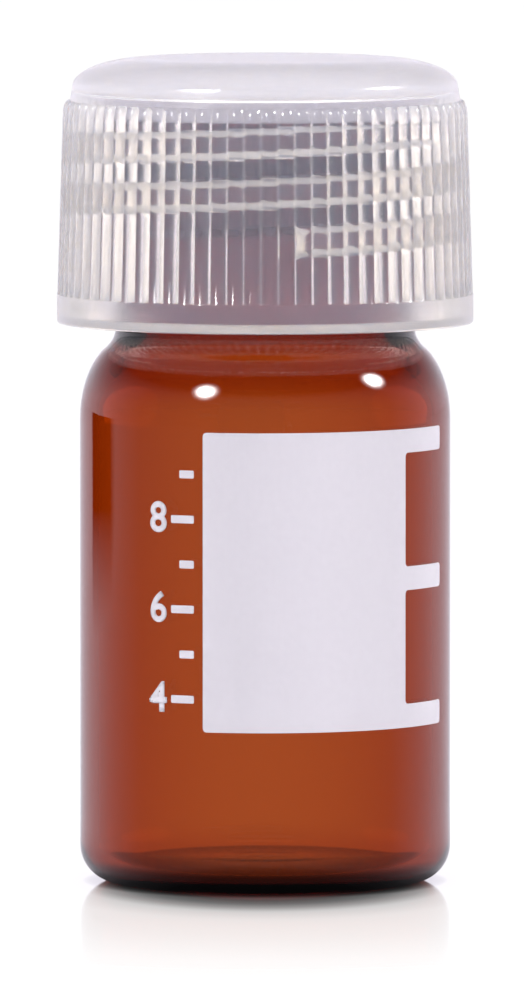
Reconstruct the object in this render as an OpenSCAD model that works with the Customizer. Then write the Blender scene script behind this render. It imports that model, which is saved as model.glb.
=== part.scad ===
// Glass sample vial with a moulded screw cap, about 10 mL.
// The origin is on the vial's axis at table level. +Z is up and -Y is the front.

/* [Vial] */
// Outer diameter of the glass body
body_d = 23.5; // [22:0.1:30]
// Height of the rim above the table
vial_h = 48.6; // [38:0.1:70]
// Straight length of the neck, from the rim down to the shoulder
neck_h = 14; // [11.5:0.1:18]
// Height of the rounded shoulder
shoulder_h = 5.2; // [3:0.1:8]
// Wall of the glass body
wall_t = 1.15; // [0.8:0.05:1.8]
// Glass of the floor over the resting ring
floor_t = 1.1; // [0.8:0.05:3]
// Rounding at the foot of the body
heel_r = 2.3; // [1:0.1:3.5]
// Rounding inside, where the wall meets the floor
inner_heel_r = 1.4; // [0.8:0.1:2.5]
// Width of the flat ring that the vial stands on
foot_w = 1.85; // [1:0.05:3]
// Height of the push-up under the floor
punt_h = 0.45; // [0.2:0.05:1]
// Radius of the flat middle of the push-up
punt_r = 3.75; // [2:0.05:5]

/* [Neck finish] */
// Outer diameter of the neck
neck_d = 19; // [15:0.1:20.5]
// Wall of the neck
neck_t = 1.9; // [1.2:0.1:2.4]
// Rounding where the neck meets the shoulder
neck_blend = 0.8; // [0.3:0.05:0.85]
// How far above the foot of the neck the bore begins to widen into the body
bore_rise = 2; // [0.5:0.1:3]
// Height of the glass thread above the neck
thread_h = 1.25; // [0.8:0.05:1.6]
// Rise of the thread in one turn
pitch = 3.175; // [2.6:0.005:4]
// Turns of thread on the glass
thread_turns = 1.5; // [1:0.1:1.8]
// Width of the glass thread at the neck
thread_root_w = 2.2; // [1.6:0.05:2.4]
// Width of the glass thread at its crest
thread_crest_w = 1; // [0.8:0.05:1.2]
// From the rim down to the middle of the thread's upper end
thread_drop = 1.8; // [1.5:0.1:3]
// Where the glass thread begins, in degrees about +Z from +X
thread_foot_a = -155; // [-180:5:180]
// Rounding of the rim
rim_r = 0.45; // [0.2:0.05:0.7]

/* [Cap] */
// Thickness of the cap's skirt over the thread
skirt_t = 2.1; // [1.4:0.1:3]
// Thickness of the top over the liner
cap_top_t = 2.2; // [1.2:0.1:3]
// Height of the plain band under the ribs
band_h = 1.9; // [1:0.1:4]
// Height of the smooth top above the ribs
crown_h = 2.7; // [2.4:0.1:5]
// How far each side of the cap leans in over the length of the ribs
rib_draft = 0.35; // [0:0.05:0.8]
// Number of grip ribs
rib_count = 75; // [48:1:96]
// Depth of the valleys between ribs
rib_depth = 0.4; // [0.1:0.02:0.44]
// Width of the ledge on top of the ribs
ledge_w = 0.46; // [0.1:0.02:0.6]
// How far the rounded edge of the top reaches in
edge_w = 4.8; // [1:0.1:5]
// How far the rounded edge of the top reaches down
edge_h = 1.8; // [1:0.1:2.3]
// Where the cap's thread begins, in degrees about +Z from +X
cap_foot_a = -82; // [-180:1:180]
// Height of the bevel inside the lower edge
mouth_h = 0.6; // [0.3:0.05:1]

/* [Fit] */
// Gap between the glass thread's crest and the cap's wall
crest_gap = 0.35; // [0.25:0.05:0.6]
// Gap between the cap thread's crest and the neck
ridge_gap = 0.65; // [0.4:0.05:0.7]
// Gap along the axis between the two threads' flanks
flank_gap = 0.3; // [0.2:0.05:0.35]
// Gap around the liner
liner_gap = 0.1; // [0.05:0.05:0.3]
// Gap between the cap's thread and the liner above it
head_gap = 0.1; // [0.05:0.05:0.5]
// From the foot of the neck up to the cap's lower edge
skirt_gap = 0.9; // [0.5:0.1:2]

/* [Liner] */
// Thickness of the liner disc
liner_t = 1.5; // [0.8:0.1:2]

/* [Print] */
// Thickness of the fired enamel
print_t = 0.05; // [0.03:0.01:0.1]
// From the top of the heel up to the writing panel's lower edge
panel_rise = 8.1; // [2:0.1:10]
// From the writing panel's upper edge up to the shoulder
panel_gap = 0.15; // [0.05:0.05:3]
// Width of the writing panel along the glass
panel_w = 14; // [8:0.1:18]
// Width that the tabs add along the glass
tab_w = 4.3; // [2:0.1:6]
// Height of each tab
tab_h = 1.5; // [0.8:0.1:2]
// From the front line to the panel's left edge, along the glass
panel_offset = 4; // [0:0.1:8]
// Gap between the scale and the panel, along the glass
scale_gap = 0.6; // [0.3:0.1:1]
// Length of the scale's long bars, along the glass
long_bar_w = 1.6; // [1:0.1:2.4]
// Length of the scale's short bars, along the glass
short_bar_w = 1; // [0.6:0.1:1.6]
// Height of one bar
bar_h = 0.5; // [0.2:0.05:0.6]

/* [Hidden] */
$fn = 96;

body_r = body_d / 2;
inner_r = body_r - wall_t;
neck_r = neck_d / 2;
bore_r = neck_r - neck_t;
thread_r = neck_r + thread_h;

// The shoulder is a quarter of an ellipse whose centre lies just inside the neck's wall.
shoulder_z = vial_h - neck_h - shoulder_h;
outer_tuck = 0.95;
outer_c = neck_r - outer_tuck;
foot_in_r = body_r - heel_r - foot_w;
floor_crown = 0.25;

// The cap is seated when the liner lies on the rim and the cap's top lies on the liner.
seat_z = vial_h + liner_t;
cap_bore_r = thread_r + crest_gap;
cap_r = cap_bore_r + skirt_t;
cap_z = vial_h - neck_h + skirt_gap;
cap_h = seat_z + cap_top_t - cap_z;
rib_h = cap_h - band_h - crown_h;
rib_sides = 6;
rib_w = 2 * PI * cap_r / rib_count;
rib_arc_r = (rib_w * rib_w / 4 + rib_depth * rib_depth) / (2 * rib_depth);
rib_arc_a = asin(rib_w / 2 / rib_arc_r);
rib_set_in = 0.03;
rib_foot_r = cap_r - rib_set_in;
rib_top_r = rib_foot_r - rib_draft;
crown_r = rib_top_r - ledge_w;
crown_draft = 0.15;
edge_bevel = 0.2;
mouth_flare = 0.5;
overshoot = 1;

// Both threads follow one helix, and the cap's runs half a pitch below the glass's.
// The cap's ridge fills the groove between the glass's turns, less the gap at each flank.
// It runs on until its upper edge has gone a quarter of its width into the liner, and is cut off level there.
helix_foot_z = vial_h - thread_drop - pitch * thread_turns;
ridge_r = neck_r + ridge_gap;
ridge_crest_w = groove_w(ridge_r);
ridge_root_w = groove_w(cap_bore_r);
ridge_foot_z = helix_z(cap_foot_a) - pitch / 2;
ridge_top_z = vial_h - head_gap;
cap_turns = (ridge_top_z - ridge_root_w / 4 - ridge_foot_z) / pitch;
thread_step = 10;
run_out = 20;
sink = 0.3;
buried = 0.15;

panel_z = heel_r + panel_rise;
panel_h = shoulder_z - panel_gap - panel_z;

// Height inside the glass for a volume in mL, on the straight part of the body.
ml = 1000;
inner_area = PI * inner_r * inner_r;
function fill_z(volume) = floor_t + volume * ml / inner_area;
function volume_at(z) = (z - floor_t) * inner_area / ml;

// Angle about +Z of a length along the glass to the right of the front line.
function around(length) = -90 + length / body_r * 180 / PI;

function arc(r, z, a, b, from, to, steps) =
    [for (i = [0:steps]) let (t = from + (to - from) * i / steps) [r + a * cos(t), z + b * sin(t)]];

// A smooth bend from p to q that follows the lines through their common corner.
function bend(p, corner, q, steps) =
    [for (i = [0:steps]) let (t = i / steps) (1 - t) * (1 - t) * p + 2 * t * (1 - t) * corner + t * t * q];

function helix_z(angle) = helix_foot_z + pitch * (angle - thread_foot_a) / 360;

// Width that the glass thread leaves for the cap's ridge at radius r.
function groove_w(r) =
    pitch - 2 * flank_gap - thread_root_w + (thread_root_w - thread_crest_w) * (r - neck_r) / thread_h;

// Outline of the glass: up the outside, over the rim and down the inside.
function outer_shoulder() =
    let (a = body_r - outer_c,
         last = acos((neck_r + neck_blend - outer_c) / a),
         top = acos((neck_r - outer_c) / a),
         corner = [neck_r, shoulder_z + shoulder_h * sin(top)],
         curve = arc(outer_c, shoulder_z, a, shoulder_h, 0, last, 12))
    concat(curve, bend(curve[12], corner, corner + [0, neck_blend], 4));

// The shoulder's inside is one smooth S, upright where it leaves the bore and where it meets the body's wall.
function inner_shoulder() =
    let (top = vial_h - neck_h + bore_rise, middle = (top + shoulder_z) / 2, steps = 18)
    [for (i = [0:steps])
        let (t = i / steps)
        [bore_r + (inner_r - bore_r) * t * t * (3 - 2 * t),
         top * pow(1 - t, 3) + middle * 3 * t * (1 - t) + shoulder_z * pow(t, 3)]];

function glass_outline() = concat(
    [[0, punt_h], [punt_r, punt_h], [foot_in_r, 0]],
    arc(body_r - heel_r, heel_r, heel_r, heel_r, -90, 0, 8),
    outer_shoulder(),
    arc(neck_r - rim_r, vial_h - rim_r, rim_r, rim_r, 0, 90, 5),
    arc(bore_r + rim_r, vial_h - rim_r, rim_r, rim_r, 90, 180, 5),
    inner_shoulder(),
    arc(inner_r - inner_heel_r, floor_t + inner_heel_r, inner_heel_r, inner_heel_r, 0, -90, 6),
    [[punt_r, floor_t + floor_crown], [0, floor_t + floor_crown]]
);

// A screw ridge with a four-cornered section that fades into its wall at both ends.
// It stands on a wall of radius wall_r, its crest is at radius crest_r and nothing of it is above top_z.
module ridge(wall_r, crest_r, root_w, crest_w, foot_a, drop, turns, top_z) {
    steps = ceil(turns * 360 / thread_step);
    inward = crest_r < wall_r;
    base_r = wall_r + (inward ? sink : -sink);
    base_w = root_w + (root_w - crest_w) * sink / abs(crest_r - wall_r);
    section = function (i) let (
        swept = 360 * turns * i / steps,
        angle = foot_a + swept,
        z = helix_z(angle) - drop,
        rise = min(1, min(swept, 360 * turns - swept) / run_out * (1 + buried) - buried),
        tip_r = wall_r + (crest_r - wall_r) * rise)
        [for (p = [[base_r, -base_w], [tip_r, -crest_w], [tip_r, crest_w], [base_r, base_w]])
            [p[0] * cos(angle), p[0] * sin(angle), min(z + p[1] / 2, top_z)]];
    points = [for (i = [0:steps]) each section(i)];
    sides = [for (i = [0:steps - 1], j = [0:3])
        let (a = 4 * i + j, b = 4 * i + (j + 1) % 4) each [[b + 4, a + 4, a], [b, b + 4, a]]];
    last = 4 * steps;
    ends = [[2, 1, 0], [3, 2, 0], [last, last + 1, last + 2], [last, last + 2, last + 3]];
    faces = concat(sides, ends);
    flipped = [for (f = faces) [f[2], f[1], f[0]]];
    polyhedron(points, inward ? flipped : faces, convexity = 10);
}

// A thin patch of enamel on the outside of the glass, from one length along it to another.
module patch(from, to, z, h) {
    start = around(from);
    translate([0, 0, z])
        rotate_extrude(angle = around(to) - start, start = start)
            translate([body_r, 0]) square([print_t, h]);
}

module vial_body() {
    color([0.6, 0.27, 0.12, 0.6]) {
        rotate_extrude() polygon(glass_outline());
        ridge(neck_r, thread_r, thread_root_w, thread_crest_w, thread_foot_a, 0, thread_turns, vial_h);
    }
}

// The panel and its three tabs, which read as a comb from the right.
module writing_panel() {
    left = -panel_offset;
    right = left + panel_w;
    color("white") {
        patch(left, right, panel_z, panel_h);
        for (z = [panel_z, panel_z + (panel_h - tab_h) / 2, panel_z + panel_h - tab_h])
            patch(right - tab_w, right + tab_w, z, tab_h);
    }
}

// One bar for each millilitre beside the panel, longer at the even ones.
module volume_scale() {
    right = -panel_offset - scale_gap;
    lowest = ceil(volume_at(panel_z - bar_h / 2));
    highest = floor(volume_at(panel_z + panel_h - bar_h / 2));
    color("white")
        for (volume = [lowest:highest])
            patch(right - (volume % 2 == 0 ? long_bar_w : short_bar_w), right, fill_z(volume) - bar_h / 2, bar_h);
}

module cap_liner() {
    color([0.95, 0.95, 0.93])
        translate([0, 0, vial_h]) cylinder(h = liner_t, r = cap_bore_r - liner_gap);
}

// Outline across the grip: each rib is an arc of a circle and the valleys between them are sharp.
function grip_outline() =
    [for (i = [0:rib_count - 1], j = [0:rib_sides - 1])
        let (turn = rib_arc_a * (2 * j / rib_sides - 1),
             angle = (i + 0.5 + rib_arc_r * sin(turn) / rib_w) * 360 / rib_count,
             r = rib_foot_r - rib_arc_r * (1 - cos(turn)))
        r * [cos(angle), sin(angle)]];

module cap_band() {
    rotate_extrude()
        polygon([[0, 0], [cap_r - edge_bevel, 0], [cap_r, edge_bevel], [cap_r, band_h], [0, band_h]]);
}

module cap_crown() {
    top_r = crown_r - crown_draft;
    rotate_extrude() polygon(concat(
        [[0, 0], [crown_r, 0]],
        arc(top_r - edge_w, crown_h - edge_h, edge_w, edge_h, 0, 90, 10),
        [[0, crown_h]]
    ));
}

module cap_bore() {
    mouth_r = cap_bore_r + mouth_flare;
    depth = cap_h - cap_top_t;
    rotate_extrude() polygon([
        [0, -overshoot], [mouth_r, -overshoot], [mouth_r, 0],
        [cap_bore_r, mouth_h], [cap_bore_r, depth], [0, depth]
    ]);
}

module screw_cap() {
    color([0.93, 0.91, 0.94, 0.7]) {
        translate([0, 0, cap_z]) difference() {
            union() {
                cap_band();
                translate([0, 0, band_h])
                    linear_extrude(rib_h, scale = rib_top_r / rib_foot_r) polygon(grip_outline());
                translate([0, 0, band_h + rib_h]) cap_crown();
            }
            cap_bore();
        }
        ridge(cap_bore_r, ridge_r, ridge_root_w, ridge_crest_w, cap_foot_a, pitch / 2, cap_turns, ridge_top_z);
    }
}

vial_body();
writing_panel();
volume_scale();
cap_liner();
screw_cap();
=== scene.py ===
import math

import bpy
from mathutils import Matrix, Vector


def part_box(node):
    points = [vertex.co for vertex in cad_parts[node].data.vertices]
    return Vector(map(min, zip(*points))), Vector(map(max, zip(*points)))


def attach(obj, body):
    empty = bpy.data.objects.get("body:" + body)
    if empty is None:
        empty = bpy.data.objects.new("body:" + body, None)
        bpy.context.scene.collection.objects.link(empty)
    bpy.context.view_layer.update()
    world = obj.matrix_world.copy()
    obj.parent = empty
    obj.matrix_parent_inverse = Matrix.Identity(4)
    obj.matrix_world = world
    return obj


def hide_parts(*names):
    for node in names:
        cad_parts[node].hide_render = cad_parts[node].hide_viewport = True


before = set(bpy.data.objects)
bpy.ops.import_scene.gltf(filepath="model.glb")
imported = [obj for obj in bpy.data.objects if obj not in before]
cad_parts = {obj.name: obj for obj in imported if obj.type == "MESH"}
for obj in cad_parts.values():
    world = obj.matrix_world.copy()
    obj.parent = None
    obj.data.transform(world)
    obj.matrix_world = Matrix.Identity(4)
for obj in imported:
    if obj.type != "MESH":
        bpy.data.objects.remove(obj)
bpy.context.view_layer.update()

MM = 0.001
millilitre = 1e-6

# Sizes read from the frame
_, vial_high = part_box("vial_body")
cap_low, cap_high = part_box("screw_cap")
liner_low, liner_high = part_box("cap_liner")
panel_low, panel_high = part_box("writing_panel")
body_r = vial_high.x
rim_z = vial_high.z
cap_r = cap_high.x
cap_z = cap_low.z
cap_top = cap_high.z
liner_r = liner_high.x

# How near points lie to each other to be merged, and to a round wall or a straight edge to be on it
weld_gap = 0.2e-6
wall_tolerance = 0.01 * MM
edge_tolerance = 1e-7

# The cap overlaps the liner by this much, and the sheet lies this far under the foot
skin = 0.02 * MM

# Underside of the glass, from the middle outwards: the pushed-up floor, its slope, the resting ring, the heel
punt_h = 0.45 * MM
punt_r = 3.75 * MM
punt_ring_r = 0.5 * punt_r
punt_flat_r = 0.8 * punt_r
punt_bend_r = 1.1 * punt_r
punt_slope_r = 1.4 * punt_r
punt_slope_z = 0.74 * punt_h
foot_w = 1.85 * MM
foot_lead_w = 0.7 * MM
foot_lead_z = 0.12 * MM
foot_corner_w = 0.1 * MM
foot_land_w = 0.3 * MM
heel_r = 2.3 * MM

# Floor of the glass inside, from the wall inwards: it rises a little to its middle
floor_z = 1.1 * MM
inner_heel_r = 1.4 * MM
floor_slope_r = 6.5 * MM
floor_slope_h = 0.02 * MM
floor_bend_r = 5 * MM
floor_bend_h = 0.1 * MM
floor_crown_r = 3 * MM
floor_crown_h = 0.25 * MM
floor_ring_r = 1.5 * MM

# Wall, shoulder, neck and rim of the glass
wall = 1.15 * MM
inner_r = body_r - wall
neck_r = 9.5 * MM
neck_wall = 1.9 * MM
bore_r = neck_r - neck_wall
neck_h = 14.0 * MM
neck_blend = 0.8 * MM
bore_rise = 2 * MM
shoulder_h = 5.2 * MM
shoulder_inset = 0.95 * MM
shoulder_z = rim_z - neck_h - shoulder_h
rim_round = 0.45 * MM
glass_steps = 240

# Screw thread: both ridges follow one right-handed helix, and the cap's fills the glass's groove
pitch = 3.175 * MM
flank_gap = 0.3 * MM
flank_ease = 0.35
glass_thread_r = 10.75 * MM
glass_root_w = 2.2 * MM
glass_crest_w = 1.0 * MM
glass_turns = 1.5
glass_thread_drop = 1.8 * MM
glass_foot_angle = -155
glass_foot_z = rim_z - glass_thread_drop - pitch * glass_turns
cap_foot_angle = -82
cap_ridge_end_gap = 0.1 * MM

# Inside of the cap: the mouth, the bore with its thread between two heights, and the top over the liner
bore_gap = 0.35 * MM
bore_wall_r = glass_thread_r + bore_gap
ridge_gap = 0.65 * MM
cap_ridge_r = neck_r + ridge_gap
lip_w = 0.1 * MM
lip_h = 0.08 * MM
mouth_flare = 0.5 * MM
mouth_h = 0.6 * MM
thread_low_h = 4.2 * MM
thread_low = cap_z + thread_low_h
thread_top_gap = 0.15 * MM
thread_high = liner_low.z - thread_top_gap
inside_top = liner_high.z - skin
inside_bevel = 0.2 * MM
inside_ring_r = 6 * MM

# Outside of the cap: the band, the ribs, the ledge over them and the domed crown
band_h = 1.9 * MM
band_bevel = 0.2 * MM
band_ease_w = 0.01 * MM
band_ease_h = 0.1 * MM
rib_count = 75
rib_steps = 12
rib_depth = 0.4 * MM
rib_draft = 0.35 * MM
rib_step = 0.03 * MM
rib_round_w = 0.34 * MM
rib_round_h = 0.9 * MM
crown_h = 2.7 * MM
crown_draft = 0.15 * MM
crown_foot_w = 0.02 * MM
crown_foot_h = 0.12 * MM
ledge_w = 0.46 * MM
ledge_z = cap_top - crown_h
ledge_tolerance = 0.001 * MM
crown_r = cap_r - rib_step - rib_draft - ledge_w
edge_w = 4.8 * MM
edge_h = 1.8 * MM
top_ring_r = 2.5 * MM
top_flat_r = 5.5 * MM

# Liner
liner_round = 0.15 * MM

# Enamel: the writing panel with its tabs, and the volume scale beside it
enamel = 0.05 * MM
bedding = 0.01 * MM
panel_left = -4.0 * MM
panel_w = 14.0 * MM
panel_corner_r = 0.25 * MM
tab_w = 4.3 * MM
tab_h = 1.5 * MM
scale_gap = 0.6 * MM
scale_volumes = range(4, 10)
bar_h = 0.5 * MM
bar_corner_r = 0.08 * MM
long_bar_w = 1.6 * MM
short_bar_w = 1.0 * MM
figure_inset = 1.9 * MM
figure_size = 2.6 * MM
figure_weight = 0.07 * MM
figure_cut_w = 1.6 * MM

# How much darker than white the vial's reflections find the studio in front and above. Each fade holds the
# two values of a ray's direction, along Y for the front and Z for above, between which the dark sets in.
front_loss = 0.7
front_fade = (0.7, -0.1)
top_loss = 0.95
top_fade = (0.1, 0.5)
soft_light = 0.8
white = (1, 1, 1, 1)
lilac = (1, 0.95, 1.06, 1)

# The sheet under the vial. Each stop of its shine is a distance from the middle, as a share of the reach, and
# the share of light that the sheet mirrors there. The same share is painted shade that darkens the sheet for
# mirrored rays, most near the foot.
sheet_size = 6
# Painted contact shade: within this reach of the vial the sheet's white is darkened, down to this share right
# under the foot
painted_contact_shade_reach = 0.0009
painted_contact_shade_min = 0.06
paper_lit = 0.85
paper_seen = 0.04
sheet_glow = 0.99
sheet_roughness = 0.06
shine_and_shade_oval = (1.6, 1, 0)
shine_and_shade_reach = 0.06
shine_and_shade_stops = (
    (0.21, 0.93), (0.25, 0.86), (0.29, 0.7), (0.33, 0.43),
    (0.41, 0.29), (0.6, 0.22), (0.8, 0.13), (0.97, 0.08),
)

# Between which values of the direction that a ray comes from each edge of the painted dark card fades: a dark
# patch on the sheet that only reflections see
card_right = (0.67, 0.69)
card_left = (0.92, 0.97)
card_near = (0.0745, 0.084)
card_front = (0, -0.1)

# Lamps: each has its name, its azimuth and elevation in degrees and, if they differ, its power
lamp_distance = 0.6
lamp_aim_z = 0.028
glint_box_size = 0.24
glint_box_power = 3.8
glint_boxes = (("left box", -41, 29.5), ("right box", 83, 32.2))
glint_edge = 0.5
glint_fall = 4
glint_gain = 15
rim_box_size = 0.6
rim_boxes = (("left rim box", -105, 12, 2.1), ("right rim box", 105, 12, 2.1), ("top box", 180, 88, 2.4))


def arc(r, z, a, b, start, end, steps):
    """Points of an elliptical arc about (r, z), angles in degrees."""
    angles = [math.radians(start + (end - start) * i / steps) for i in range(steps + 1)]
    return [(r + a * math.cos(t), z + b * math.sin(t)) for t in angles]


def bend(p, corner, q, steps):
    """A smooth bend from p to q that follows the two lines through their corner."""
    points = []
    for i in range(steps + 1):
        t = i / steps
        weights = ((1 - t) ** 2, 2 * t * (1 - t), t * t)
        points.append(tuple(sum(w * c for w, c in zip(weights, axis)) for axis in zip(p, corner, q)))
    return points


def s_curve(start, end, steps):
    """A smooth S from start to end that is upright at both of them."""
    middle = (start[1] + end[1]) / 2
    points = []
    for i in range(steps + 1):
        t = i / steps
        r = start[0] + (end[0] - start[0]) * t * t * (3 - 2 * t)
        points.append((r, start[1] * (1 - t) ** 3 + middle * 3 * t * (1 - t) + end[1] * t ** 3))
    return points


def straight(p, q, steps):
    """Evenly spaced points between p and q, without either end."""
    points = []
    for i in range(1, steps):
        points.append((p[0] + (q[0] - p[0]) * i / steps, p[1] + (q[1] - p[1]) * i / steps))
    return points


def deselect():
    """Deselects every object, because an operator acts on all that is selected."""
    bpy.ops.object.select_all(action="DESELECT")


def edit(piece):
    """Opens a piece in edit mode, with everything on it selected."""
    deselect()
    piece.select_set(True)
    bpy.context.view_layer.objects.active = piece
    bpy.ops.object.mode_set(mode="EDIT")
    bpy.ops.mesh.select_all(action="SELECT")


def close_edit():
    """Leaves edit mode."""
    bpy.ops.object.mode_set(mode="OBJECT")


def draw_outline(name, points):
    """Draws an outline in the XZ plane, point by point, and leaves it open in edit mode."""
    deselect()
    bpy.ops.mesh.primitive_plane_add(size=MM)
    piece = bpy.context.object
    piece.name = name
    piece.data.name = name
    bpy.ops.object.mode_set(mode="EDIT")
    bpy.ops.mesh.merge(type="CENTER")
    bpy.ops.transform.translate(value=(points[0][0], 0, points[0][1]))
    for (r0, z0), (r1, z1) in zip(points, points[1:]):
        bpy.ops.mesh.extrude_vertices_move(TRANSFORM_OT_translate={"value": (r1 - r0, 0, z1 - z0)})
    bpy.ops.mesh.select_all(action="SELECT")
    return piece


def weld():
    """Merges the doubles left by a spin and turns the faces outwards."""
    bpy.ops.mesh.select_all(action="SELECT")
    bpy.ops.mesh.remove_doubles(threshold=weld_gap)
    bpy.ops.mesh.normals_make_consistent(inside=False)


def smooth(piece, angle):
    """Shades a piece smooth, but for edges that turn by more than an angle in degrees."""
    deselect()
    piece.select_set(True)
    bpy.context.view_layer.objects.active = piece
    bpy.ops.object.shade_smooth_by_angle(angle=math.radians(angle))


def give(piece, material):
    """Makes a material the piece's only one."""
    piece.data.materials.clear()
    piece.data.materials.append(material)


def trapezoid(offset, root, crest):
    """Height, from 0 to 1, of a ridge with sloping flanks at an offset from its middle line."""
    rise = (root / 2 - abs(offset)) / ((root - crest) / 2)
    rise = min(1, max(0, rise))
    return rise * rise * (3 - 2 * rise) * flank_ease + rise * (1 - flank_ease)


def ridge_height(x, y, z, foot_angle, foot_z, turns, root, crest, fade_in, fade_out):
    """Height, from 0 to 1, of a screw ridge at a point of the wall that it winds round."""
    azimuth = (math.degrees(math.atan2(y, x)) - foot_angle) % 360
    best = 0
    swept = azimuth
    while swept < 360 * turns:
        middle = foot_z + pitch * swept / 360
        run = min(1, swept / fade_in, (360 * turns - swept) / fade_out)
        best = max(best, run * trapezoid(z - middle, root, crest))
        swept += 360
    return best


def helix_z(angle):
    """Height of the glass thread's middle line at an azimuth in degrees."""
    return glass_foot_z + pitch * (angle - glass_foot_angle) / 360


def groove_w(r):
    """Width that the glass's thread leaves for the cap's at a radius."""
    taper = (glass_root_w - glass_crest_w) / (glass_thread_r - neck_r)
    return pitch - 2 * flank_gap - glass_root_w + taper * (r - neck_r)


def wind_ridge(piece, wall_r, crest_r, low, high, **thread):
    """Moves the points of a round wall between two heights out or in to the crest of a screw ridge."""
    for vertex in piece.data.vertices:
        x, y, z = vertex.co
        r = math.hypot(x, y)
        if abs(r - wall_r) < wall_tolerance and low < z < high:
            scale = 1 + (crest_r / wall_r - 1) * ridge_height(x, y, z, **thread)
            vertex.co.x = x * scale
            vertex.co.y = y * scale


# ---------------------------------------------------------------- glass

def make_vial():
    """The vial: one wall of glass from the pushed-up floor over the shoulder and the rim, and down inside."""
    shoulder_c = neck_r - shoulder_inset
    shoulder_w = body_r - shoulder_c
    last = math.degrees(math.acos((neck_r + neck_blend - shoulder_c) / shoulder_w))
    top = math.acos((neck_r - shoulder_c) / shoulder_w)
    shoulder = arc(shoulder_c, shoulder_z, shoulder_w, shoulder_h, 0, last, steps=24)
    corner = (neck_r, shoulder_z + shoulder_h * math.sin(top))
    neck_foot = (neck_r, corner[1] + neck_blend)
    shoulder += bend(shoulder[-1], corner, neck_foot, steps=10)[1:]
    inner_shoulder = s_curve((bore_r, rim_z - neck_h + bore_rise), (inner_r, shoulder_z), steps=36)

    foot_out = body_r - heel_r
    foot_in = foot_out - foot_w
    punt_slope = (punt_slope_r, punt_slope_z)
    foot_lead = (foot_in - foot_lead_w, foot_lead_z)
    inner_heel_c = (inner_r - inner_heel_r, floor_z + inner_heel_r)
    floor_slope = (floor_slope_r, floor_z + floor_slope_h)
    floor_bend = (floor_bend_r, floor_z + floor_bend_h)
    crown = floor_z + floor_crown_h
    rim_low = rim_z - rim_round
    outline = [(0, punt_h), (punt_ring_r, punt_h)]
    outline += bend((punt_flat_r, punt_h), (punt_bend_r, punt_h), punt_slope, steps=4)
    outline += bend(foot_lead, (foot_in - foot_corner_w, 0), (foot_in + foot_land_w, 0), steps=4)
    outline += arc(foot_out, heel_r, heel_r, heel_r, -90, 0, steps=14)
    outline += straight((body_r, heel_r), (body_r, shoulder_z), steps=12)
    outline += shoulder
    outline += straight(neck_foot, (neck_r, rim_low), steps=80)
    outline += arc(neck_r - rim_round, rim_low, rim_round, rim_round, 0, 90, steps=6)
    outline += arc(bore_r + rim_round, rim_low, rim_round, rim_round, 90, 180, steps=6)
    outline += inner_shoulder
    outline += arc(*inner_heel_c, inner_heel_r, inner_heel_r, 0, -90, steps=12)
    outline += bend(floor_slope, floor_bend, (floor_crown_r, crown), steps=5)
    outline += [(floor_ring_r, crown), (0, crown)]

    vial = draw_outline("glass_vial", outline)
    bpy.ops.mesh.spin(steps=glass_steps, angle=2 * math.pi, center=(0, 0, 0), axis=(0, 0, 1))
    weld()
    close_edit()
    wind_ridge(
        vial, neck_r, glass_thread_r, neck_foot[1], rim_low,
        foot_angle=glass_foot_angle, foot_z=glass_foot_z, turns=glass_turns,
        root=glass_root_w, crest=glass_crest_w, fade_in=40, fade_out=40,
    )
    smooth(vial, 50)
    return vial


# ---------------------------------------------------------------- cap

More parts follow.
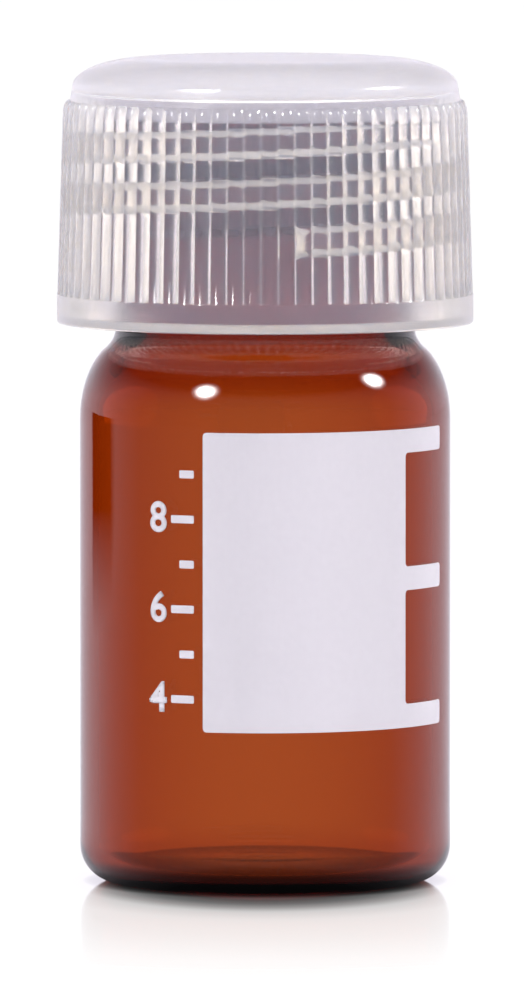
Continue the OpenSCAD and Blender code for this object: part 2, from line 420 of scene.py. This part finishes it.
def make_cap():
    """The cap: one rib's slice is spun, scalloped and copied round, and then its thread is wound."""
    rib_foot_z = cap_z + band_h
    rib_foot_r = cap_r - rib_step
    rib_top_r = rib_foot_r - rib_draft
    rib_round_z = ledge_z - rib_round_h
    rib_w = 2 * math.pi * cap_r / rib_count
    rib_arc_r = (rib_w ** 2 / 4 + rib_depth ** 2) / (2 * rib_depth)
    rib_arc_angle = math.asin(rib_w / 2 / rib_arc_r)
    mouth_r = bore_wall_r + mouth_flare
    crown_top_r = crown_r - crown_draft

    outline = [(0, cap_top), (top_ring_r, cap_top), (top_flat_r, cap_top)]
    outline += arc(crown_top_r - edge_w, cap_top - edge_h, edge_w, edge_h, 90, 0, steps=16)
    outline += [(crown_r - crown_foot_w, ledge_z + crown_foot_h), (crown_r, ledge_z)]
    outline += arc(rib_top_r - rib_round_w, rib_round_z, rib_round_w, rib_round_h, 85, 0, steps=7)
    outline += straight((rib_top_r, rib_round_z), (rib_foot_r, rib_foot_z), steps=5)
    outline += [(rib_foot_r, rib_foot_z), (cap_r - band_ease_w, rib_foot_z - band_ease_h / 2)]
    outline += [(cap_r, rib_foot_z - band_ease_h)]
    outline += arc(cap_r - band_bevel, cap_z + band_bevel, band_bevel, band_bevel, 0, -90, steps=3)
    outline += [(mouth_r + lip_w, cap_z), (mouth_r, cap_z + lip_h), (bore_wall_r, cap_z + mouth_h)]
    outline += [(bore_wall_r, thread_low)]
    outline += straight((bore_wall_r, thread_low), (bore_wall_r, thread_high), steps=60)
    outline += [(bore_wall_r, thread_high), (bore_wall_r, inside_top - inside_bevel)]
    outline += [(bore_wall_r - inside_bevel, inside_top), (inside_ring_r, inside_top), (0, inside_top)]

    slice_angle = 2 * math.pi / rib_count
    cap = draw_outline("ribbed_cap", outline)
    bpy.ops.mesh.spin(steps=rib_steps, angle=slice_angle, center=(0, 0, 0), axis=(0, 0, 1))
    weld()
    close_edit()
    for vertex in cap.data.vertices:
        x, y, z = vertex.co
        r = math.hypot(x, y)
        if rib_foot_z - wall_tolerance < z < ledge_z - ledge_tolerance and r > crown_r:
            azimuth = math.atan2(y, x)
            turn = rib_arc_angle * (2 * abs(azimuth) / slice_angle - 1)
            share = 0.5 + rib_arc_r * math.sin(turn) / rib_w
            r = max(r - rib_arc_r * (1 - math.cos(turn)), crown_r + wall_tolerance)
            azimuth = math.copysign(share * slice_angle, azimuth)
            vertex.co.x = r * math.cos(azimuth)
            vertex.co.y = r * math.sin(azimuth)
    edit(cap)
    bpy.ops.mesh.spin(
        steps=rib_count - 1, dupli=True, angle=slice_angle * (rib_count - 1),
        center=(0, 0, 0), axis=(0, 0, 1),
    )
    weld()
    close_edit()
    root = groove_w(bore_wall_r)
    foot_z = helix_z(cap_foot_angle) - pitch / 2
    end_z = liner_low.z - cap_ridge_end_gap - root / 4
    wind_ridge(
        cap, bore_wall_r, cap_ridge_r, thread_low, thread_high,
        foot_angle=cap_foot_angle, foot_z=foot_z, turns=(end_z - foot_z) / pitch,
        root=root, crest=groove_w(cap_ridge_r), fade_in=8, fade_out=30,
    )
    smooth(cap, 35)
    return cap


def make_liner():
    """The liner disc that seals on the rim, with slightly rounded edges."""
    deselect()
    height = liner_high.z - liner_low.z
    middle = (liner_high.z + liner_low.z) / 2
    bpy.ops.mesh.primitive_cylinder_add(vertices=160, radius=liner_r, depth=height, location=(0, 0, middle))
    liner = bpy.context.object
    liner.name = "liner_disc"
    bpy.ops.object.transform_apply(location=True, rotation=True, scale=True)
    rounding = liner.modifiers.new("Rounded edges", "BEVEL")
    rounding.width = liner_round
    rounding.segments = 3
    rounding.limit_method = "ANGLE"
    bpy.ops.object.modifier_apply(modifier=rounding.name)
    smooth(liner, 40)
    return liner


# ---------------------------------------------------------------- enamel

def wrap(piece):
    """Wraps a flat piece, drawn in the XZ plane, round the glass: its width runs along the wall."""
    for vertex in piece.data.vertices:
        angle = vertex.co.x / body_r
        r = body_r - bedding - vertex.co.y
        vertex.co = (r * math.sin(angle), -r * math.cos(angle), vertex.co.z)


def flat_patch(name, left, right, low, high):
    """A flat patch in the XZ plane, facing -Y, left open in edit mode."""
    deselect()
    bpy.ops.mesh.primitive_plane_add(size=1, rotation=(math.pi / 2, 0, 0))
    piece = bpy.context.object
    piece.name = name
    piece.data.name = name
    piece.scale = (right - left, high - low, 1)
    piece.location = ((left + right) / 2, 0, (low + high) / 2)
    bpy.ops.object.transform_apply(location=True, rotation=True, scale=True)
    edit(piece)
    return piece


def cut_across(first, last, count):
    """Cuts the open piece by evenly spaced upright planes, so that it can bend."""
    for i in range(1, count):
        x = first + (last - first) * i / count
        bpy.ops.mesh.select_all(action="SELECT")
        bpy.ops.mesh.bisect(plane_co=(x, 0, 0), plane_no=(1, 0, 0))


def cut_level(z):
    """Cuts the open piece by a level plane."""
    bpy.ops.mesh.select_all(action="SELECT")
    bpy.ops.mesh.bisect(plane_co=(0, 0, z), plane_no=(0, 0, 1))


def thicken(piece):
    """Gives a wrapped piece the thickness of the enamel, outwards from its bedding in the glass."""
    layer = piece.modifiers.new("Layer", "SOLIDIFY")
    layer.thickness = enamel + bedding
    layer.offset = -1
    deselect()
    piece.select_set(True)
    bpy.context.view_layer.objects.active = piece
    bpy.ops.object.modifier_apply(modifier=layer.name)


def round_corners(piece, radius):
    """Rounds the outline's corners in its own plane: the points where two rim edges meet at a right angle."""
    close_edit()
    edges = {}
    for polygon in piece.data.polygons:
        for key in polygon.edge_keys:
            edges[key] = edges.get(key, 0) + 1
    rim = [key for key, uses in edges.items() if uses == 1]
    ways = {}
    for a, b in rim:
        along = piece.data.vertices[b].co - piece.data.vertices[a].co
        for point in (a, b):
            ways.setdefault(point, []).append(along.normalized())
    bpy.ops.object.mode_set(mode="EDIT")
    bpy.ops.mesh.select_all(action="DESELECT")
    close_edit()
    for point, (first, second) in ways.items():
        piece.data.vertices[point].select = abs(first.dot(second)) < 0.5
    bpy.ops.object.mode_set(mode="EDIT")
    bpy.ops.mesh.bevel(offset=radius, segments=4, affect="VERTICES")


def pull_tab(panel, edge_x, bottom, top):
    """Draws a tab out of the panel's right edge between two heights."""
    bpy.ops.mesh.select_all(action="DESELECT")
    close_edit()
    for vertex in panel.data.vertices:
        on_edge = abs(vertex.co.x - edge_x) < edge_tolerance
        vertex.select = on_edge and bottom - edge_tolerance < vertex.co.z < top + edge_tolerance
    bpy.ops.object.mode_set(mode="EDIT")
    bpy.ops.mesh.extrude_edges_move(TRANSFORM_OT_translate={"value": (tab_w, 0, 0)})


def make_panel():
    """The writing panel with its three tabs, drawn flat and then wrapped round the glass."""
    right = panel_left + panel_w
    low, high = panel_low.z, panel_high.z
    middle = (low + high - tab_h) / 2
    panel = flat_patch("panel_enamel", panel_left, right, low, high)
    for z in (low + tab_h, middle, middle + tab_h, high - tab_h):
        cut_level(z)
    for bottom in (low, middle, high - tab_h):
        pull_tab(panel, right, bottom, bottom + tab_h)
    round_corners(panel, panel_corner_r)
    cut_across(panel_left, right + tab_w, count=46)
    close_edit()
    wrap(panel)
    thicken(panel)
    return panel


def fill_z(volume):
    """Height to which a volume in millilitres fills the vial."""
    return floor_z + volume * millilitre / (math.pi * inner_r ** 2)


def make_bar(volume, right, width):
    """One bar of the volume scale."""
    z = fill_z(volume)
    bar = flat_patch("bar_%d" % volume, right - width, right, z - bar_h / 2, z + bar_h / 2)
    round_corners(bar, bar_corner_r)
    cut_across(right - width, right, count=6)
    close_edit()
    return bar


def make_number(volume, right):
    """A plain number beside a long bar."""
    deselect()
    bpy.ops.object.text_add()
    text = bpy.context.object
    text.data.body = str(volume)
    text.data.align_x = "RIGHT"
    text.data.align_y = "CENTER"
    text.data.size = figure_size
    text.data.offset = figure_weight
    bpy.ops.object.convert(target="MESH")
    number = bpy.context.object
    number.name = "number_%d" % volume
    number.rotation_euler = (math.pi / 2, 0, 0)
    number.location = (right, 0, fill_z(volume))
    bpy.ops.object.transform_apply(location=True, rotation=True, scale=True)
    edit(number)
    bpy.ops.mesh.remove_doubles(threshold=weld_gap)
    cut_across(right - figure_cut_w, right, count=6)
    close_edit()
    return number


def make_scale():
    """The volume scale: a bar for each millilitre, longer and numbered at the even ones."""
    right = panel_left - scale_gap
    pieces = []
    for volume in scale_volumes:
        even = volume % 2 == 0
        pieces.append(make_bar(volume, right, long_bar_w if even else short_bar_w))
        if even:
            pieces.append(make_number(volume, right - figure_inset))
    deselect()
    for piece in pieces:
        piece.select_set(True)
    bpy.context.view_layer.objects.active = pieces[0]
    bpy.ops.object.join()
    scale = bpy.context.object
    scale.name = "scale_enamel"
    scale.data.name = "scale_enamel"
    wrap(scale)
    thicken(scale)
    return scale


# ---------------------------------------------------------------- materials

def new_material(name):
    """A new material with its node tree and its shader."""
    material = bpy.data.materials.new(name)
    material.use_nodes = True
    tree = material.node_tree
    shader = tree.nodes["Principled BSDF"]
    return material, tree, shader


def object_noise(tree, scale, stretch=(1, 1, 1), detail=2):
    """Noise in the piece's own coordinates."""
    coordinates = tree.nodes.new("ShaderNodeTexCoord")
    mapping = tree.nodes.new("ShaderNodeMapping")
    mapping.inputs["Scale"].default_value = stretch
    noise = tree.nodes.new("ShaderNodeTexNoise")
    noise.inputs["Scale"].default_value = scale
    noise.inputs["Detail"].default_value = detail
    tree.links.new(coordinates.outputs["Object"], mapping.inputs["Vector"])
    tree.links.new(mapping.outputs["Vector"], noise.inputs["Vector"])
    return noise


def add_bump(tree, shader, height, strength, distance):
    """Makes a shader's surface rise and fall with a height."""
    bump = tree.nodes.new("ShaderNodeBump")
    bump.inputs["Strength"].default_value = strength
    bump.inputs["Distance"].default_value = distance
    tree.links.new(height, bump.inputs["Height"])
    tree.links.new(bump.outputs["Normal"], shader.inputs["Normal"])


def add_tones(tree, shader, grain, dark, light, low=0, high=1):
    """Colours a shader between two tones as the grain goes from low to high."""
    tones = tree.nodes.new("ShaderNodeValToRGB")
    for stop, position, tone in zip(tones.color_ramp.elements, (low, high), (dark, light)):
        stop.position = position
        stop.color = tone
    tree.links.new(grain.outputs["Fac"], tones.inputs["Fac"])
    tree.links.new(tones.outputs["Color"], shader.inputs["Base Color"])


def amber_glass():
    """Clear amber borosilicate glass, coloured through its thickness, with faint drawing lines."""
    material, tree, shader = new_material("amber glass")
    shader.inputs["Base Color"].default_value = white
    shader.inputs["Roughness"].default_value = 0.0
    shader.inputs["IOR"].default_value = 1.474
    shader.inputs["Transmission Weight"].default_value = 1.0
    lines = object_noise(tree, 400, (1, 1, 0.12))
    add_bump(tree, shader, lines.outputs["Fac"], 0.05, 0.00005)
    colour = tree.nodes.new("ShaderNodeVolumeAbsorption")
    colour.inputs["Color"].default_value = (0.804, 0.47, 0.01, 1)
    colour.inputs["Density"].default_value = 2400
    tree.links.new(colour.outputs["Volume"], tree.nodes["Material Output"].inputs["Volume"])
    return material


def white_enamel():
    """Fired white enamel: slightly grainy, with a satin surface that takes a pencil."""
    material, tree, shader = new_material("white enamel")
    grain = object_noise(tree, 2500, detail=4)
    add_tones(tree, shader, grain, (0.86, 0.845, 0.96, 1), (0.88, 0.865, 0.98, 1), low=0.3, high=0.7)
    shader.inputs["Roughness"].default_value = 0.55
    add_bump(tree, shader, grain.outputs["Fac"], 0.15, 0.00001)
    return material


def natural_plastic():
    """Uncoloured polypropylene: a see-through body with a milky haze."""
    material, tree, shader = new_material("natural polypropylene")
    shader.inputs["Base Color"].default_value = (0.965, 0.935, 1, 1)
    shader.inputs["Roughness"].default_value = 0.22
    shader.inputs["IOR"].default_value = 1.49
    shader.inputs["Transmission Weight"].default_value = 1.0
    grain = object_noise(tree, 900, detail=3)
    add_bump(tree, shader, grain.outputs["Fac"], 0.03, 0.00002)
    haze = tree.nodes.new("ShaderNodeVolumeScatter")
    haze.inputs["Color"].default_value = (0.66, 0.77, 1, 1)
    haze.inputs["Density"].default_value = 195
    haze.inputs["Anisotropy"].default_value = 0.0
    tree.links.new(haze.outputs["Volume"], tree.nodes["Material Output"].inputs["Volume"])
    return material


def liner_foam():
    """Expanded polyethylene of the liner: the foam is white, and its grey tones are painted shade under the
    cap.
    """
    material, tree, shader = new_material("liner foam")
    grain = object_noise(tree, 1800, detail=3)
    # Painted shade: both tones are grey, darker than the white foam, for the shade under the cap
    add_tones(tree, shader, grain, (0.6, 0.59, 0.6, 1), (0.68, 0.66, 0.67, 1))
    shader.inputs["Roughness"].default_value = 0.6
    add_bump(tree, shader, grain.outputs["Fac"], 0.3, 0.00003)
    return material


# ---------------------------------------------------------------- studio

def combine(tree, operation, first, second):
    """A Math node on two values, each a socket or a number."""
    node = tree.nodes.new("ShaderNodeMath")
    node.operation = operation
    for socket, value in zip(node.inputs, (first, second)):
        if isinstance(value, (int, float)):
            socket.default_value = value
        else:
            tree.links.new(value, socket)
    return node.outputs["Value"]


def map_range(tree, value, from_low, from_high, to_low, to_high):
    """A value with one range spread over another, and held at its ends."""
    scaled = tree.nodes.new("ShaderNodeMapRange")
    scaled.inputs["From Min"].default_value = from_low
    scaled.inputs["From Max"].default_value = from_high
    scaled.inputs["To Min"].default_value = to_low
    scaled.inputs["To Max"].default_value = to_high
    tree.links.new(value, scaled.inputs["Value"])
    return scaled.outputs["Result"]


def seen_directly(tree, path):
    """1 for camera, glossy and transmission rays, which show the white background, else 0."""
    seen = combine(tree, "MAXIMUM", path.outputs["Is Camera Ray"], path.outputs["Is Glossy Ray"])
    return combine(tree, "MAXIMUM", seen, path.outputs["Is Transmission Ray"])


def mirrored(tree, path):
    """1 for rays that a surface has mirrored and that have gone through none since, else 0."""
    return combine(tree, "MULTIPLY", path.outputs["Is Glossy Ray"],
                   combine(tree, "SUBTRACT", 1, path.outputs["Is Transmission Ray"]))


def darkened(tree, path, loss):
    """What is left of the light for mirrored rays that come by a dark part of the studio, 1 for others. On
    the sheet, those dark parts are painted shade.
    """
    return combine(tree, "SUBTRACT", 1, combine(tree, "MULTIPLY", mirrored(tree, path), loss))


def tinted(tree, path):
    """White, with a touch of lilac for mirrored rays."""
    tint = tree.nodes.new("ShaderNodeMix")
    tint.data_type = "RGBA"
    tint.inputs["A"].default_value = white
    tint.inputs["B"].default_value = lilac
    tree.links.new(mirrored(tree, path), tint.inputs["Factor"])
    return tint.outputs["Result"]


def make_world():
    """White where it is seen, dark in front and above for reflections, and plain soft light besides."""
    world = bpy.data.worlds.new("studio")
    bpy.context.scene.world = world
    world.use_nodes = True
    tree = world.node_tree
    background = tree.nodes["Background"]
    path = tree.nodes.new("ShaderNodeLightPath")
    tree.links.new(tinted(tree, path), background.inputs["Color"])
    seen = map_range(tree, seen_directly(tree, path), 0, 1, soft_light, 1)
    direction = tree.nodes.new("ShaderNodeTexCoord")
    parts = tree.nodes.new("ShaderNodeSeparateXYZ")
    tree.links.new(direction.outputs["Generated"], parts.inputs["Vector"])
    in_front = map_range(tree, parts.outputs["Y"], *front_fade, 0, front_loss)
    above = map_range(tree, parts.outputs["Z"], *top_fade, 0, top_loss)
    left_over = darkened(tree, path, combine(tree, "MAXIMUM", in_front, above))
    tree.links.new(combine(tree, "MULTIPLY", seen, left_over), background.inputs["Strength"])


def shine_near_foot(tree):
    """How much the sheet mirrors: nearly all at the foot of the vial and little further off. The same share
    is painted shade on the sheet for mirrored rays.
    """
    place = tree.nodes.new("ShaderNodeTexCoord")
    oval = tree.nodes.new("ShaderNodeVectorMath")
    oval.operation = "MULTIPLY"
    oval.inputs[1].default_value = shine_and_shade_oval
    tree.links.new(place.outputs["Object"], oval.inputs[0])
    distance = tree.nodes.new("ShaderNodeVectorMath")
    distance.operation = "LENGTH"
    tree.links.new(oval.outputs["Vector"], distance.inputs[0])
    shine_and_shade = tree.nodes.new("ShaderNodeValToRGB")
    tree.links.new(combine(tree, "DIVIDE", distance.outputs["Value"], shine_and_shade_reach), shine_and_shade.inputs["Fac"])
    for count, (position, share) in enumerate(shine_and_shade_stops):
        stop = shine_and_shade.color_ramp.elements[count] if count < 2 else shine_and_shade.color_ramp.elements.new(position)
        stop.position = position
        stop.color = (share, share, share, 1)
    return shine_and_shade.outputs["Color"]


def dark_card(tree, parts):
    """Painted dark reflection: 1 for rays that land far off to the left, behind the vial, as if a dark card
    lay there, else 0.
    """
    card = combine(tree, "MULTIPLY", map_range(tree, parts.outputs["X"], *card_right, 0, 1),
                   map_range(tree, parts.outputs["X"], *card_left, 1, 0))
    card = combine(tree, "MULTIPLY", card, map_range(tree, parts.outputs["Z"], *card_near, 1, 0))
    return combine(tree, "MULTIPLY", card, map_range(tree, parts.outputs["Y"], *card_front, 0, 1))


def make_floor():
    """A white sheet that mirrors the vial at its foot and is dark only where the vial nearly touches it, by
    painted contact shade. For mirrored rays it also carries painted shade in front, near the foot and at a
    painted dark card.
    """
    deselect()
    bpy.ops.mesh.primitive_plane_add(size=sheet_size, location=(0, 0, -skin))
    floor = bpy.context.object
    floor.name = "studio_floor"
    material = bpy.data.materials.new("white sheet")
    material.use_nodes = True
    tree = material.node_tree
    tree.nodes.remove(tree.nodes["Principled BSDF"])
    path = tree.nodes.new("ShaderNodeLightPath")
    ray = tree.nodes.new("ShaderNodeNewGeometry")
    parts = tree.nodes.new("ShaderNodeSeparateXYZ")
    tree.links.new(ray.outputs["Incoming"], parts.inputs["Vector"])
    # Painted shade that only mirrored rays see on the sheet: darker in front, near the foot and at the
    # painted dark card
    in_front = map_range(tree, parts.outputs["Y"], -front_fade[0], -front_fade[1], 0, front_loss)
    # Painted contact shade: where the vial's foot is near, its occlusion darkens the sheet's white
    contact = tree.nodes.new("ShaderNodeAmbientOcclusion")
    contact.samples = 8
    contact.inputs["Distance"].default_value = painted_contact_shade_reach
    painted_contact_shade = map_range(tree, contact.outputs["AO"], 0, 1, painted_contact_shade_min, 1)
    shine_and_shade = shine_near_foot(tree)
    dark = combine(tree, "MAXIMUM", combine(tree, "MAXIMUM", in_front, shine_and_shade), dark_card(tree, parts))
    # Painted shade: the painted contact shade times the painted shade that only mirrored rays see
    painted_shade = combine(tree, "MULTIPLY", painted_contact_shade, darkened(tree, path, dark))
    seen = seen_directly(tree, path)

    matt = tree.nodes.new("ShaderNodeBsdfDiffuse")
    sheet = tree.nodes.new("ShaderNodeCombineColor")
    paper = combine(tree, "MULTIPLY", painted_shade, map_range(tree, seen, 0, 1, paper_lit, paper_seen))
    for channel in ("Red", "Green", "Blue"):
        tree.links.new(paper, sheet.inputs[channel])
    tree.links.new(sheet.outputs["Color"], matt.inputs["Color"])
    glow = tree.nodes.new("ShaderNodeEmission")
    tree.links.new(tinted(tree, path), glow.inputs["Color"])
    glow_strength = combine(tree, "MULTIPLY", seen, sheet_glow)
    tree.links.new(combine(tree, "MULTIPLY", glow_strength, painted_shade), glow.inputs["Strength"])
    both = tree.nodes.new("ShaderNodeAddShader")
    tree.links.new(matt.outputs["BSDF"], both.inputs[0])
    tree.links.new(glow.outputs["Emission"], both.inputs[1])

    gloss = tree.nodes.new("ShaderNodeBsdfGlossy")
    gloss.inputs["Color"].default_value = white
    gloss.inputs["Roughness"].default_value = sheet_roughness
    coat = tree.nodes.new("ShaderNodeMixShader")
    tree.links.new(combine(tree, "MULTIPLY", shine_and_shade, path.outputs["Is Camera Ray"]), coat.inputs["Fac"])
    tree.links.new(both.outputs["Shader"], coat.inputs[1])
    tree.links.new(gloss.outputs["BSDF"], coat.inputs[2])
    tree.links.new(coat.outputs["Shader"], tree.nodes["Material Output"].inputs["Surface"])
    give(floor, material)


def add_lamp(name, azimuth, elevation, size, power):
    """A round soft box that faces the vial, its azimuth in degrees to the right of the front."""
    a, e = math.radians(azimuth), math.radians(elevation)
    way = Vector((math.sin(a) * math.cos(e), -math.cos(a) * math.cos(e), math.sin(e)))
    lamp = bpy.data.lights.new(name, "AREA")
    lamp.shape = "DISK"
    lamp.size = size
    lamp.energy = power
    holder = bpy.data.objects.new(name, lamp)
    holder.location = Vector((0, 0, lamp_aim_z)) + way * lamp_distance
    holder.rotation_euler = (-way).to_track_quat("-Z", "Y").to_euler()
    bpy.context.scene.collection.objects.link(holder)
    return holder


def soften(holder):
    """Lets a lamp fade from its middle to its edge, so its glint has no hard outline."""
    lamp = holder.data
    lamp.use_nodes = True
    tree = lamp.node_tree
    place = tree.nodes.new("ShaderNodeNewGeometry")
    middle = tree.nodes.new("ShaderNodeVectorMath")
    middle.operation = "DISTANCE"
    middle.inputs[1].default_value = (glint_edge, glint_edge, 0)
    tree.links.new(place.outputs["Parametric"], middle.inputs[0])
    nearness = map_range(tree, middle.outputs["Value"], 0, glint_edge, 1, 0)
    glow = combine(tree, "MULTIPLY", combine(tree, "POWER", nearness, glint_fall), glint_gain)
    tree.links.new(glow, tree.nodes["Emission"].inputs["Strength"])


def make_lamps():
    """Two small boxes light the enamel and glint on the glass, and three big ones light the plastic."""
    for name, azimuth, elevation in glint_boxes:
        holder = add_lamp(name, azimuth, elevation, glint_box_size, glint_box_power)
        holder.visible_transmission = False
        soften(holder)
    for name, azimuth, elevation, power in rim_boxes:
        holder = add_lamp(name, azimuth, elevation, rim_box_size, power)
        holder.visible_glossy = False


def make_camera():
    """Far off and a little above, looking slightly down."""
    sideways = -0.0002
    distance = 0.886
    height = 0.0897
    drop = math.radians(4.2278)
    camera_data = bpy.data.cameras.new("camera")
    camera_data.sensor_width = 36
    camera_data.lens = 504
    camera_data.clip_start = 0.05
    camera = bpy.data.objects.new("camera", camera_data)
    camera.location = (sideways, -distance, height)
    camera.rotation_euler = (math.pi / 2 - drop, 0, 0)
    bpy.context.scene.collection.objects.link(camera)
    bpy.context.scene.camera = camera


bpy.context.scene.view_settings.view_transform = "Standard"
bpy.context.scene.cycles.max_bounces = 32
bpy.context.scene.cycles.transmission_bounces = 24
bpy.context.scene.cycles.glossy_bounces = 24
bpy.context.scene.cycles.volume_bounces = 20
make_camera()
make_world()
make_floor()
make_lamps()

enamel_finish = white_enamel()
vial = make_vial()
give(vial, amber_glass())
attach(vial, "vial")
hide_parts("vial_body")

panel = make_panel()
give(panel, enamel_finish)
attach(panel, "vial")
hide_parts("writing_panel")

scale = make_scale()
give(scale, enamel_finish)
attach(scale, "vial")
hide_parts("volume_scale")

liner = make_liner()
give(liner, liner_foam())
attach(liner, "liner")
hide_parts("cap_liner")

cap = make_cap()
give(cap, natural_plastic())
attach(cap, "cap")
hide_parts("screw_cap")
